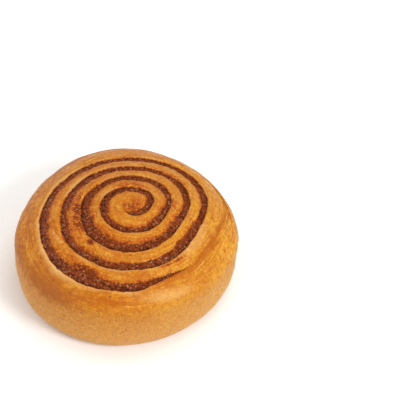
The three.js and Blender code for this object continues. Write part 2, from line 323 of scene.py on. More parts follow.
class Skin:
    """Points, faces and what each point knows, gathered for one mesh."""

    def __init__(self):
        self.points, self.facts, self.faces, self.roll = [], [], [], []

    def add(self, x, y, z, **facts):
        """New points, each with what is known of it, as a list of their indices."""
        known = [facts.get(fact, 0) for fact in FACTS]
        rows = np.stack(np.broadcast_arrays(*np.atleast_1d(x, y, z, *known)), 1).tolist()
        start = len(self.points)
        self.points.extend(row[:3] for row in rows)
        self.facts.extend(row[3:] for row in rows)
        return list(range(start, len(self.points)))

    def join(self, first, second, roll_first, roll_second):
        """Faces between two rows of points, with each corner's place along and across the roll."""
        for i in range(len(first) - 1):
            corners = [first[i], first[i + 1], second[i + 1], second[i]]
            places = [roll_first[i], roll_first[i + 1], roll_second[i + 1], roll_second[i]]
            kept = [j for j in range(4) if corners[j] != corners[j - 1]]
            if len(kept) > 2 and len({corners[j] for j in kept}) == len(kept):
                self.faces.append([corners[j] for j in kept])
                self.roll.extend(places[j] for j in kept)

    def mesh(self, name):
        made = bpy.data.meshes.new(name)
        made.from_pydata(in_frame(self.points), [], self.faces)
        for i, fact in enumerate(FACTS):
            layer = made.attributes.new(fact, "FLOAT", "POINT")
            layer.data.foreach_set("value", [known[i] for known in self.facts])
        uv = made.uv_layers.new(name="roll")
        uv.data.foreach_set("uv", [MM * v for place in self.roll for v in place])
        made.polygons.foreach_set("use_smooth", [True] * len(made.polygons))
        return made


def side_profile():
    """Shares of the girth radius and heights down the side, evenly spaced from rim to underside."""
    shoulder = math.acos(RIM_RATIO ** (CROWN_POWER / 2))
    over = np.cos(np.linspace(shoulder, 0, 200)) ** (2 / CROWN_POWER)
    over_z = top_height(over * girth_radius(0), 0)
    turned = np.linspace(0, math.pi / 2, 400)[1:]
    under = mix(FOOT_RATIO, 1, np.clip(np.cos(turned), 0, 1) ** (2 / FOOT_POWER))
    under_z = GIRTH_HEIGHT * (1 - np.sin(turned) ** (2 / FOOT_POWER))
    out, z = np.concatenate([over, under]), np.concatenate([over_z, under_z])
    out[-1], z[-1] = FOOT_RATIO, 0
    walked = np.concatenate([[0], np.cumsum(np.hypot(np.diff(out) * BUN_RADIUS, np.diff(z)))])
    even = np.linspace(0, walked[-1], DOWN_THE_SIDE + 1)
    return np.interp(even, walked, out), np.interp(even, walked, z), even


SIDE_OUT, SIDE_Z, SIDE_DOWN = side_profile()


class Edge(NamedTuple):
    """An edge of a turn of dough: how deep and how far in the dough dips to it, how full the slot
    beside it is, and the indices of its points on top and below."""

    radius: float
    dip: float
    reach: float
    filled: float
    above: int
    below: int


class DoughSkin(Skin):
    """The wound dough, built column by column as its solid is."""

    def __init__(self):
        super().__init__()
        self.top, self.under, self.wall, self.near, self.far = {}, {}, {}, {}, {}
        x, y = SWIRL_CENTRE
        above = self.add(x, y, top_height(x, y), soak=0.8)[0]
        below = self.add(x * TUCK, y * TUCK, 0)[0]
        self.middle = Edge(0.0, 0.0, 1.0, 0.0, above, below)
        for column in range(last_column + 1):
            self.add_column(column)
        self.wall[last_column] = self.wall[join_column]
        for column in (first_filled, last_filled):
            self.close_slot(column)
        self.join_columns()

    def add_column(self, column):
        inner = self.inner_edge(column)
        outer = inner if column == last_column else self.outer_edge(column)
        self.top[column] = self.top_row(column, inner, outer)
        self.under[column] = self.under_row(inner, outer)

    def inner_edge(self, column):
        line = column - COLUMNS
        if line <= 0:
            return self.middle
        half = HALF[line]
        if half > 0:
            radius = LINE[line] + half + FAR_RAG[line] * min(1, half)
            return self.slot_edge(self.far, line, radius, half, LIP_DROP)
        above, below = self.top[line][-1], self.under[line][-1]
        return self.bare_edge(line, above, below)

    def outer_edge(self, column):
        if column == 0:
            return self.middle
        half = HALF[column]
        if half > 0:
            radius = LINE[column] - half + NEAR_RAG[column] * min(1, half)
            return self.slot_edge(self.near, column, radius, half, GROOVE)
        return self.sealed_edge(column) if column < join_column else self.rim_edge(column)

    def slot_edge(self, side, column, radius, half, drop):
        """Dough beside the filling, from the edge on top down to the underside."""
        x, y = plan_point(angle_of(column), radius)
        tuck = np.array([1, TUCK_HALFWAY, TUCK])
        level = np.array([1, 0.5, 0]) * GIRTH_HEIGHT
        dip = mix(drop, TAIL_CREASE, ENDING[column])
        above = self.add(x, y, top_height(x, y) - dip, stain=1)
        side[column] = above + self.add(x * tuck, y * tuck, level, stain=1)
        reach = mix(EDGE_REACH, TAIL_REACH, ENDING[column])
        return Edge(radius, dip, reach, min(1, half / STAINED_SLOT), side[column][0], side[column][-1])

    def bare_edge(self, line, above, below):
        dip = mix(GROOVE, TAIL_CREASE, TAIL[line]) * CREASE[line]
        reach = mix(EDGE_REACH, TAIL_REACH, TAIL[line])
        return Edge(LINE[line], dip, reach, 0.0, above, below)

    def sealed_edge(self, column):
        edge = self.bare_edge(column, None, None)
        x, y = plan_point(angle_of(column), edge.radius)
        wrapped = smooth((column - last_filled) / (join_column - last_filled))
        tuck = mix(TUCK, FOOT_RATIO / RIM_RATIO, wrapped)
        # The bare edge in the fold is toasted and darkened with painted shade.
        above = self.add(x, y, top_height(x, y) - edge.dip, toast=TAIL_TOAST_AND_SHADE * TAIL[column])[0]
        below = self.add(x * tuck, y * tuck, 0)[0]
        return edge._replace(above=above, below=below)

    def rim_edge(self, column):
        """The rim of the last wrap and the side below it."""
        x, y = plan_point(angle_of(column), LINE[column])
        angle = np.arctan2(y, x)
        out = girth_radius(angle) * SIDE_OUT
        line = column - COLUMNS
        gap = LINE[column] - LINE[line] - HALF[line]
        pale = PALE[line] * np.exp(-(((gap + SIDE_DOWN) / PALE_REACH[line]) ** 2)) * (HALF[line] > 0)
        # The lip's paleness takes in stretched pale skin and painted highlights.
        pale = np.maximum(pale, nearness(PALE_SKIN_AND_HIGHLIGHTS, ANGLE[column], LINE[column] + SIDE_DOWN))
        row = self.add(out * np.cos(angle), out * np.sin(angle), SIDE_Z, pale=pale,
                       toast=nearness(BROWNED, angle, SIDE_DOWN), side=smooth(SIDE_DOWN / SIDE_BLEND))
        self.wall[column] = row
        return Edge(LINE[column], 0.0, 1.0, 0.0, row[0], row[-1])

    def top_row(self, column, inner, outer):
        if inner is outer:
            return [inner.above] * (ACROSS + 1)
        share = (1 - np.cos(np.linspace(0, math.pi, ACROSS + 1)[1:-1])) / 2
        width = outer.radius - inner.radius
        radius = mix(inner.radius, outer.radius, share)
        x, y = plan_point(ANGLE[column], radius)
        from_inner, to_outer = share * width, (1 - share) * width
        dip = inner.dip * np.exp(-((from_inner / inner.reach) ** 2))
        dip += outer.dip * np.exp(-((to_outer / outer.reach) ** 2))
        ridge = ridge_height(column, share, width) * HIGHER[column]

        line = max(0, column - COLUMNS)
        pale = PALE[line] * smooth(from_inner / LIP_EDGE) * np.exp(-((from_inner / PALE_REACH[line]) ** 2))
        beside = inner.filled * np.exp(-((from_inner / (0.7 * LIP_EDGE)) ** 2))
        stain = STAIN_STRENGTH * outer.filled * np.exp(-((to_outer / STAIN_REACH[column]) ** 1.5))
        around = np.arctan2(y, x)
        toast = nearness(BROWNED, around, np.hypot(x, y) - RIM_RATIO * girth_radius(around))
        # The band along the fold: toast and painted shade in the crease.
        fold = FOLD[line] * np.exp(-(((from_inner - FOLD_OUT) / FOLD_HALF) ** 2))
        # Stretched pale skin and painted highlights add to the lip's paleness.
        made = self.add(
            x, y, top_height(x, y) + ridge - dip, stain=np.maximum(stain, beside),
            pale=np.maximum(pale * inner.filled, nearness(PALE_SKIN_AND_HIGHLIGHTS, ANGLE[column], radius)),
            toast=np.maximum(toast, FOLD_TOAST_AND_SHADE * fold), soak=nearness(SOAKED, ANGLE[column], radius),
            bits=STRAY_BITS * np.maximum(stain**2, beside))
        return [inner.above, *made, outer.above]

    def under_row(self, inner, outer):
        if inner is outer:
            return [inner.below] * 3
        a, b = self.points[inner.below], self.points[outer.below]
        half_way = self.add((a[0] + b[0]) / 2, (a[1] + b[1]) / 2, 0)
        return [inner.below, *half_way, outer.below]

    def close_slot(self, column):
        x, y = plan_point(angle_of(column), LINE[column])
        tuck = np.array([1, TUCK_HALFWAY])
        between = self.add(x * tuck, y * tuck, np.array([1, 0.5]) * GIRTH_HEIGHT, stain=1)
        self.near[column] = self.far[column] = [self.top[column][-1], *between, self.under[column][-1]]

    def join_columns(self):
        share = (1 - np.cos(np.linspace(0, math.pi, ACROSS + 1))) / 2
        starts = np.concatenate([np.zeros(COLUMNS), LINE[: last_column + 1 - COLUMNS]])
        rolls = []
        for column in range(last_column + 1):
            rolls.append([(LENGTH[column], v) for v in share * (LINE[column] - starts[column])])
        downs = [[(LENGTH[c], PITCH + v) for v in SIDE_DOWN] for c in range(last_column + 1)]
        flat = [(0.0, 0.0)] * 4
        for column in range(last_column):
            self.join(self.top[column], self.top[column + 1], rolls[column], rolls[column + 1])
            self.join(self.under[column + 1], self.under[column], flat, flat)
            if column >= join_column:
                self.join(self.wall[column], self.wall[column + 1], downs[column], downs[column + 1])
        for column in range(first_filled, last_filled):
            self.join(self.near[column], self.near[column + 1], flat, flat)
            self.join(self.far[column + 1], self.far[column], flat, flat)


def colour(code):
    """An sRGB hex colour as the linear values that Blender works in."""
    parts = [int(code[i : i + 2], 16) / 255 for i in (1, 3, 5)]
    return (*(c / 12.92 if c <= 0.04045 else ((c + 0.055) / 1.055) ** 2.4 for c in parts), 1)


def node(tree, kind, *values, inputs=None, out=0, **settings):
    """Adds a node with its settings; its first inputs, and others by name or number, each get a value
    or a link. Gives back one of its outputs."""
    made = tree.nodes.new(kind)
    for name, value in settings.items():
        setattr(made, name, value)
    for name, value in [*enumerate(values), *(inputs or {}).items()]:
        if isinstance(value, bpy.types.NodeSocket):
            tree.links.new(value, made.inputs[name])
        else:
            made.inputs[name].default_value = value
    return made.outputs[out] if made.outputs else made


def new_material(name):
    """A material with no nodes yet, and what adds nodes to it."""
    made = bpy.data.materials.new(name)
    made.use_nodes = True
    made.node_tree.nodes.clear()
    return made, partial(node, made.node_tree)


def layered(add, base, layers):
    """A colour with others laid over it. Each layer has its colour, what brings it out, the values of
    that at which it starts and is full, how much of it there is then, and what else it takes."""
    shade = colour(base)
    for over, cause, start, full, most, also in layers:
        part = add("ShaderNodeMapRange", cause, start, full, 0.0, most)
        if also:
            part = add("ShaderNodeMath", part, also, operation="MULTIPLY")
        shade = add("ShaderNodeMix", part, inputs={6: shade, 7: colour(over)}, out=2, data_type="RGBA")
    return shade


def crust_patterns(add, place, roll):
    """The unevenness of the bake, each pattern under its name."""
    made = {}
    for name, grain in {"clouds": 22, "blotch": 5, "mottle": 2.2, "pebble": 1.0}.items():  # in mm
        made[name] = add("ShaderNodeTexNoise", inputs={
            "Vector": place, "Scale": 1000 / grain, "Detail": 3, "Roughness": 0.6})
    # Stretched dough is streaked along the roll, 12 mm long: finely 0.8 mm wide, broadly 2.4 mm.
    for name, width in {"streaks": 0.8, "bands": 2.4}.items():
        with_the_roll = add("ShaderNodeMapping", roll, inputs={"Scale": (80, 1000 / width, 1)})
        made[name] = add("ShaderNodeTexNoise", inputs={
            "Vector": with_the_roll, "Scale": 1, "Detail": 3, "Roughness": 0.55})
    # The side was stretched down as it rose: creases 0.9 mm apart and 10 mm long.
    down = add("ShaderNodeMapping", roll, inputs={"Scale": (1100, 100, 1)})
    made["creases"] = add("ShaderNodeTexNoise", inputs={
        "Vector": down, "Scale": 1, "Detail": 3, "Roughness": 0.6})
    # Pores lie about 4 mm apart.
    made["pores"] = add("ShaderNodeTexVoronoi", inputs={"Vector": place, "Scale": 240})
    return made


def crust_patches(add, skin, bake, top):
    """How toasted, soaked and pale each spot is: patches with broken edges. The toast takes in painted
    shade in the fold, and the paleness painted highlights.
    """
    uneven = add("ShaderNodeMath", bake["blotch"], 0.8, -0.4, operation="MULTIPLY_ADD")
    grainy = add("ShaderNodeMath", bake["mottle"], 0.9, -0.45, operation="MULTIPLY_ADD")
    rough = add("ShaderNodeMath", uneven, grainy, operation="ADD")
    streaked = add("ShaderNodeMath", bake["streaks"], 1.6, -0.8, operation="MULTIPLY_ADD")
    drawn = add("ShaderNodeMath", streaked, top, rough, operation="MULTIPLY_ADD")
    toasted = add("ShaderNodeMath", skin["toast"], drawn, operation="ADD")

    crumbled = add("ShaderNodeMath", bake["pebble"], 2.0, bake["mottle"], operation="MULTIPLY_ADD")
    broken = add("ShaderNodeMath", crumbled, 2.0, -2.0, operation="MULTIPLY_ADD")
    stained = add("ShaderNodeMath", skin["stain"], broken, operation="MULTIPLY")
    spread = add("ShaderNodeMath", broken, uneven, operation="ADD")
    spilt = add("ShaderNodeMath", skin["soak"], spread, operation="MULTIPLY")
    soaked = add("ShaderNodeMath", stained, spilt, operation="MAXIMUM")

    combed = add("ShaderNodeMath", bake["streaks"], 1.6, 0.1, operation="MULTIPLY_ADD")
    pale_lip_and_highlights = add("ShaderNodeMath", skin["pale"], combed, operation="MULTIPLY")
    return toasted, soaked, pale_lip_and_highlights


def crust_colour(add, place, skin, bake):
    """Golden dough, browned in patches on top, paler low on the side, red-brown where syrup soaked it, with
    painted shade towards the left and painted highlights on the shoulder and ridge crests.
    """
    side = skin["side"]
    top = add("ShaderNodeMapRange", side, 0.0, 0.6, 1.0, 0.0)
    toasted, soaked, pale_lip_and_highlights = crust_patches(add, skin, bake, top)
    x, y, z = add("ShaderNodeSeparateXYZ", place).node.outputs
    low = add("ShaderNodeMapRange", z, 0.0, 0.03, 1.0, 0.0)
    # Painted shade darkens the bun towards the left, away from the key light, and pores are drawn there
    # too. Browned patches turn duller on the left, and the lip turns darker towards the back.
    left_shade_and_pores = add("ShaderNodeMapRange", x, 0.045, 0.0, 0.0, 1.0)
    left = add("ShaderNodeMapRange", x, -0.008, -0.025, 0.0, 1.0)
    return layered(add, "#d99e2a", [
        # Painted shade, deepening towards the left.
        ("#ca821b", left_shade_and_pores, 0.0, 1.0, 1.0, None),
        ("#b96a14", bake["clouds"], 0.35, 0.68, 0.6, None),
        ("#e0a03e", bake["bands"], 0.47, 0.66, 0.75, top),
        ("#a8520e", bake["streaks"], 0.48, 0.66, 0.75, top),
        ("#b2560e", bake["blotch"], 0.5, 0.66, 0.35, top),
        ("#b05c10", bake["mottle"], 0.46, 0.7, 0.75, None),
        ("#b4640e", bake["pebble"], 0.5, 0.66, 0.6, top),
        ("#b8701e", bake["creases"], 0.48, 0.7, 0.6, side),
        ("#d99f56", low, 0.0, 1.0, 1.0, side),
        ("#a55d18", bake["pebble"], 0.48, 0.66, 0.4, side),
        ("#e7ab4c", bake["pebble"], 0.44, 0.32, 0.5, None),
        # Toast, with painted shade along the fold.
        ("#b05a08", toasted, 0.15, 1.0, 0.9, None),
        ("#a45e28", toasted, 0.15, 0.9, 0.7, left),
        # Pale lip and stretched skin, with painted highlights.
        ("#dcab68", pale_lip_and_highlights, 0.1, 0.7, 0.9, None),
        ("#a8844a", y, -0.012, 0.015, 0.6, pale_lip_and_highlights),
        ("#b4560c", soaked, 0.08, 0.45, 0.9, None),
        ("#92400a", soaked, 0.4, 0.75, 0.9, None),
        ("#642606", soaked, 0.75, 1.15, 0.9, None),
        ("#7d3a12", bake["pores"], 0.16, 0.06, 0.75, left_shade_and_pores),
    ])


def crust_relief(add, side, bake):
    """Orange peel on the side, finer on top, with soft pits, the side's creases and the streaks."""
    peel = add("ShaderNodeMapRange", side, 0.0, 1.0, 0.45, 1.0)
    creased = add("ShaderNodeMath", side, 0.5, operation="MULTIPLY")
    reliefs = [("pebble", peel, 0.0011), ("mottle", 0.7, 0.0006), ("creases", creased, 0.0005),
               ("streaks", 0.35, 0.0004)]
    below = {}
    for pattern, strength, depth in reliefs:
        raised = add("ShaderNodeBump", inputs={
            "Height": bake[pattern], "Strength": strength, "Distance": depth, **below})
        below = {"Normal": raised}
    return raised


def baked_crust():
    """Baked yeast dough, brushed with milk and syrup: golden with toasted shoulders, satin on top,
    finely pebbled and duller down the side, soaked red-brown where it touches the nut filling and
    pale where the last of the sheet was stretched over it, with painted highlights on the shoulder
    and ridge crests and painted shade towards the left and in the fold."""
    made, add = new_material("baked_yeast_dough")
    place = add("ShaderNodeTexCoord", out="Object")
    roll = add("ShaderNodeUVMap", uv_map="roll")
    skin = {fact: add("ShaderNodeAttribute", out="Fac", attribute_name=fact)
            for fact in FACTS if fact != "bits"}
    bake = crust_patterns(add, place, roll)
    dull = add("ShaderNodeMapRange", bake["mottle"], 0.3, 0.7, 0.3, 0.55)
    shader = add("ShaderNodeBsdfPrincipled", inputs={
        "Base Color": crust_colour(add, place, skin, bake), "Roughness": dull,
        "Normal": crust_relief(add, skin["side"], bake), "IOR": 1.42, "Specular IOR Level": 0.14,
        "Subsurface Weight": 0.06, "Subsurface Radius": (1.0, 0.45, 0.2), "Subsurface Scale": 0.0015,
        "Sheen Weight": 0.05, "Sheen Roughness": 0.4})
    add("ShaderNodeOutputMaterial", shader)
    return made


def nut_paste():
    """Ground hazelnut paste with cinnamon and sugar syrup: dark brown, with painted shade at the outer
    side, redder where it soaks into the dough at the inner side, broken and moist."""
    made, add = new_material("ground_nut_paste")
    place = add("ShaderNodeTexCoord", out="Object")
    across = add("ShaderNodeAttribute", out="Fac", attribute_name="across")
    # Ground bits of 0.9 mm and patches of 6 mm.
    bits, patches = (
        add("ShaderNodeTexNoise", inputs={
            "Vector": place, "Scale": 1000 / grain, "Detail": 4, "Roughness": 0.7})
        for grain in (0.9, 6))
    # Bits of nut of 0.8 mm, each its own shade.
    ground = add("ShaderNodeTexVoronoi", out="Color", inputs={"Vector": place, "Scale": 1000 / 0.8})
    chance = add("ShaderNodeSeparateColor", ground)
    strewn = add("ShaderNodeMath", bits, 4.0, -2.0, operation="MULTIPLY_ADD")
    turned = add("ShaderNodeMath", across, strewn, operation="ADD")
    # It is greyer on the left of the bun.
    greyed = add("ShaderNodeMapRange", add("ShaderNodeSeparateXYZ", place), -0.01, -0.045, 0.0, 1.0)
    shade = layered(add, "#80340e", [
        ("#935440", greyed, 0.0, 1.0, 0.85, None),
        ("#94481c", bits, 0.5, 0.66, 0.7, None),
        ("#8a360a", patches, 0.42, 0.66, 0.5, None),
        ("#9a460a", turned, -0.5, -1.4, 0.7, None),
        # Painted shade: darkest at the outer side, where the next turn's lip shades the paste.
        ("#3c180a", turned, 0.0, 1.1, 0.85, None),
        ("#a86c40", chance, 0.84, 0.88, 0.6, None),
        ("#2c1008", chance, 0.26, 0.22, 0.75, None),
    ])
    bump = add("ShaderNodeBump", inputs={"Height": bits, "Strength": 0.9, "Distance": 0.0008})
    dull = add("ShaderNodeMapRange", patches, 0.35, 0.65, 0.45, 0.75)
    shader = add("ShaderNodeBsdfPrincipled", inputs={
        "Base Color": shade, "Roughness": dull, "Normal": bump, "IOR": 1.45, "Specular IOR Level": 0.12})
    add("ShaderNodeOutputMaterial", shader)
    return made


def chopped_nut():
    """Chopped hazelnut in the paste: from roasted dark brown to tan, each bit its own shade."""
    made, add = new_material("chopped_hazelnut")
    shade = add("ShaderNodeAttribute", out="Fac", attribute_name="shade")
    brown = add("ShaderNodeMix", add("ShaderNodeMapRange", shade, 0.0, 0.9), out=2, data_type="RGBA",
                inputs={6: colour("#300f05"), 7: colour("#86401a")})
    finished = add("ShaderNodeMix", add("ShaderNodeMapRange", shade, 0.92, 1.0), out=2, data_type="RGBA",
                   inputs={6: brown, 7: colour("#a86c44")})
    shader = add("ShaderNodeBsdfPrincipled", inputs={
        "Base Color": finished, "Roughness": 0.6, "IOR": 1.45, "Specular IOR Level": 0.1})
    add("ShaderNodeOutputMaterial", shader)
    return made


def syrup_with_painted_glint():
    """Sugar syrup set in beads: clear pale amber, glossy, and bright enough to be partly a painted glint.
    """
    made, add = new_material("sugar_syrup_painted_glint")
    shader = add("ShaderNodeBsdfPrincipled", inputs={
        "Base Color": colour("#fff0e0"), "Roughness": 0.12, "IOR": 1.5, "Transmission Weight": 0.35})
    add("ShaderNodeOutputMaterial", shader)
    return made


def new_object(name, mesh, material=None):
    made = bpy.data.objects.new(name, mesh)
    bpy.context.scene.collection.objects.link(made)
    if material:
        made.data.materials.append(material)
    return made


def new_tree(name, inputs):
    """A geometry node tree with named inputs, its input sockets and the inputs' identifiers."""
    tree = bpy.data.node_groups.new(name, "GeometryNodeTree")
    tree.interface.new_socket("Geometry", in_out="INPUT", socket_type="NodeSocketGeometry")
    named = {}
    for label, kind in inputs.items():
        made = tree.interface.new_socket(label, in_out="INPUT", socket_type="NodeSocket" + kind)
        named[label] = made.identifier
    tree.interface.new_socket("Geometry", in_out="OUTPUT", socket_type="NodeSocketGeometry")
    return tree, node(tree, "NodeGroupInput").node.outputs, named


def end_tree(tree, geometry, material):
    """The end of every tree: instances made real, and the material set."""
    add = partial(node, tree)
    real = add("GeometryNodeRealizeInstances", geometry)
    painted = add("GeometryNodeSetMaterial", inputs={"Geometry": real, "Material": material})
    add("NodeGroupOutput", painted)


def grown(source, tree, named, values, name):
    """A plain mesh of what a tree makes of an object, with the tree's inputs set first."""
    modifier = source.modifiers.new(name, "NODES")
    modifier.node_group = tree
    for label, value in values.items():
        modifier[named[label]] = value
    bpy.context.view_layer.update()
    evaluated = source.evaluated_get(bpy.context.evaluated_depsgraph_get())
    mesh = bpy.data.meshes.new_from_object(evaluated)
    mesh.name = name
    source.modifiers.remove(modifier)
    return mesh


def uneven_rise_tree():
    """The skin of the dough swells and sinks a little, more on the side than on top."""
    tree, given, named = new_tree(
        "uneven_rise", {"Swell": "Float", "Lumps": "Float", "Material": "Material"})
    add = partial(node, tree)
    place = add("GeometryNodeInputPosition")
    # Swellings about 17 mm across and lumps of about 4 mm.
    broad = add("ShaderNodeTexNoise", inputs={"Vector": place, "Scale": 60, "Detail": 1})
    small = add("ShaderNodeTexNoise", inputs={"Vector": place, "Scale": 230, "Detail": 2})
    swollen = add("ShaderNodeMath", add("ShaderNodeMath", broad, 0.5, operation="SUBTRACT"), given["Swell"],
                  operation="MULTIPLY")
    high = add("ShaderNodeMath", add("ShaderNodeMath", small, 0.5, operation="SUBTRACT"), given["Lumps"],
               swollen, operation="MULTIPLY_ADD")
    side = add("GeometryNodeInputNamedAttribute", "side", data_type="FLOAT")
    more = add("ShaderNodeMapRange", side, 0.0, 1.0, 0.6, 1.0)
    # The flat underside stays flat.
    off_the_floor = add("ShaderNodeMapRange", add("ShaderNodeSeparateXYZ", place, out=2), 0.0, 0.006)
    kept = add("ShaderNodeMath", add("ShaderNodeMath", high, more, operation="MULTIPLY"), off_the_floor,
               operation="MULTIPLY")
    push = add("ShaderNodeVectorMath", add("GeometryNodeInputNormal"), inputs={"Scale": kept},
               operation="SCALE")
    moved = add("GeometryNodeSetPosition", given["Geometry"], inputs={"Offset": push})
    end_tree(tree, moved, given["Material"])
    return tree, named


def shown(name, mesh, replaced=None):
    """A piece of the part: it belongs to the body, and may stand in for a solid."""
    piece = new_object(name, mesh)
    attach(piece, "root")
    if replaced:
        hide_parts(replaced)
    return piece


def make_dough():
    rough = new_object("dough_rough", DoughSkin().mesh("dough_rough"))
    tree, named = uneven_rise_tree()
    values = {"Swell": 1.4 * MM, "Lumps": 0.6 * MM, "Material": baked_crust()}
    skin = grown(rough, tree, named, values, "dough_skin")
    bpy.data.objects.remove(rough)
    return shown("dough_skin", skin, "dough")


def filling_course():
    """The filling's line on the top of the bun, and what is known at each of its steps."""
    first, last = first_filled + 2, last_filled - 2
    steps = np.linspace(first, last, (last - first) * 2 + 1)
    angle = angle_of(steps)
    radius = np.interp(steps, all_columns, LINE)
    x, y = plan_point(angle, radius)
    # Towards its outer end it sinks with the dough beside it.
    z = top_height(x, y) - SINKING * TAIL_CREASE * np.interp(steps, all_columns, ENDING)
    course = bpy.data.meshes.new("filling_course")
    course.from_pydata(in_frame(np.stack([x, y, z], 1)), [(i, i + 1) for i in range(len(steps) - 1)], [])
    known = {
        "half": MM * np.interp(steps, all_columns, HALF),
        "slope": top_height(*plan_point(angle, radius + 1)) - top_height(x, y),
        "wet": along(WET_PLACES, angle),
    }
    for fact, values in known.items():
        course.attributes.new(fact, "FLOAT", "POINT").data.foreach_set("value", values)
    out = course.attributes.new("out", "FLOAT_VECTOR", "POINT")
    out.data.foreach_set("vector", np.stack([np.cos(angle), np.sin(angle), 0 * angle], 1).ravel())
    return new_object("filling_course", course)


def filling_section():
    """The filling's cross-section as a closed ring, and what is known of each point of it."""
    facts = ("across", "deep", "level", "tuck", "bits")
    ring = [(across, 0.0, 0.0, 1.0, 1.0) for across in np.linspace(-1, 1, 15)]
    down = [(MM * GIRTH_HEIGHT, 1.0), (MM * GIRTH_HEIGHT / 2, TUCK_HALFWAY),
            (MM * UNDERSIDE_RECESS, TUCK)]
    ring += [(1.0, 1.0, level, tuck, 0.0) for level, tuck in down]
    ring += [(-1.0, 1.0, level, tuck, 0.0) for level, tuck in reversed(down)]
    section = bpy.data.meshes.new("filling_section")
    count = len(ring)
    turned = [i * TURN / count for i in range(count)]
    section.from_pydata([(MM * math.cos(a), MM * math.sin(a), 0) for a in turned],
                        [(i, (i + 1) % count) for i in range(count)], [])
    for i, fact in enumerate(facts):
        layer = section.attributes.new(fact, "FLOAT", "POINT")
        layer.data.foreach_set("value", [point[i] for point in ring])
    return new_object("filling_section", section)


def wound_filling_tree():
    """Draws the section along the course, then sets every point from what both know of it."""
    tree, given, named = new_tree("wound_filling", {
        "Section": "Object", "Under Near": "Float", "Under Far": "Float", "Edge Near": "Float",
        "Edge Far": "Float", "Bulge": "Float", "Lumps": "Float", "Material": "Material"})
    add = partial(node, tree)
    course = add("GeometryNodeMeshToCurve", given["Geometry"])
    kept = add("GeometryNodeStoreNamedAttribute", course, data_type="FLOAT_VECTOR", domain="POINT",
               inputs={"Name": "spine", "Value": add("GeometryNodeInputPosition")})
    ring = add("GeometryNodeMeshToCurve", add("GeometryNodeObjectInfo", given["Section"], out="Geometry"))
    swept = add("GeometryNodeCurveToMesh", inputs={"Curve": kept, "Profile Curve": ring, "Fill Caps": True})
    across, half, tuck, slope, deep, level = (
        add("GeometryNodeInputNamedAttribute", fact, data_type="FLOAT")
        for fact in ("across", "half", "tuck", "slope", "deep", "level"))
    out, spine = (add("GeometryNodeInputNamedAttribute", fact, data_type="FLOAT_VECTOR")
                  for fact in ("out", "spine"))
    # The sides run under the dough, so that no gap shows.
    under = add("ShaderNodeMapRange", across, -1.0, 1.0, given["Under Near"], given["Under Far"])
    shift = add("ShaderNodeMath", across, add("ShaderNodeMath", half, under, operation="ADD"),
                operation="MULTIPLY")
    sideways = add("ShaderNodeVectorMath", out, inputs={"Scale": shift}, operation="SCALE")
    at = add("ShaderNodeVectorMath", spine, sideways, operation="ADD")
    # The top: a low grainy mound that leans on the inner dough and falls away to the outer.
    lean = add("ShaderNodeMapRange", across, -1.0, 1.0, given["Edge Near"], given["Edge Far"])
    sloped = add("ShaderNodeMath", slope, shift, lean, operation="MULTIPLY_ADD")
    rounded = add("ShaderNodeMath", 1.0, add("ShaderNodeMath", across, across, operation="MULTIPLY"),
                  operation="SUBTRACT")
    mound = add("ShaderNodeMath", rounded, given["Bulge"], sloped, operation="MULTIPLY_ADD")
    # Ground bits of about 2 mm lie on top, and fewer at the outer edge.
    grain = add("ShaderNodeTexNoise", inputs={"Vector": at, "Scale": 480, "Detail": 3, "Roughness": 0.65})
    calm = add("ShaderNodeMapRange", across, 0.4, 1.0, given["Lumps"], 0.0)
    lumpy = add("ShaderNodeMath", add("ShaderNodeMath", grain, 0.5, operation="SUBTRACT"), calm, mound,
                operation="MULTIPLY_ADD")
    spot = add("ShaderNodeSeparateXYZ", at).node.outputs
    top = add("ShaderNodeMath", spot[2], lumpy, operation="ADD")
    z = add("ShaderNodeMix", deep, inputs={2: top, 3: level}, data_type="FLOAT")
    new_place = add("ShaderNodeCombineXYZ", add("ShaderNodeMath", spot[0], tuck, operation="MULTIPLY"),
                    add("ShaderNodeMath", spot[1], tuck, operation="MULTIPLY"), z)
    moved = add("GeometryNodeSetPosition", swept, inputs={"Position": new_place})
    end_tree(tree, moved, given["Material"])
    return tree, named


def make_filling():
    course, section = filling_course(), filling_section()
    tree, named = wound_filling_tree()
    values = {"Section": section, "Under Near": 0.8 * MM, "Under Far": 0.25 * MM, "Edge Near": -0.25 * MM,
              "Edge Far": -0.7 * MM, "Bulge": 0.35 * MM, "Lumps": 1.0 * MM, "Material": nut_paste()}
    wound = grown(course, tree, named, values, "nut_filling_wound")
    bpy.data.objects.remove(course)
    bpy.data.objects.remove(section)
    return shown("nut_filling_wound", wound, "nut_filling")


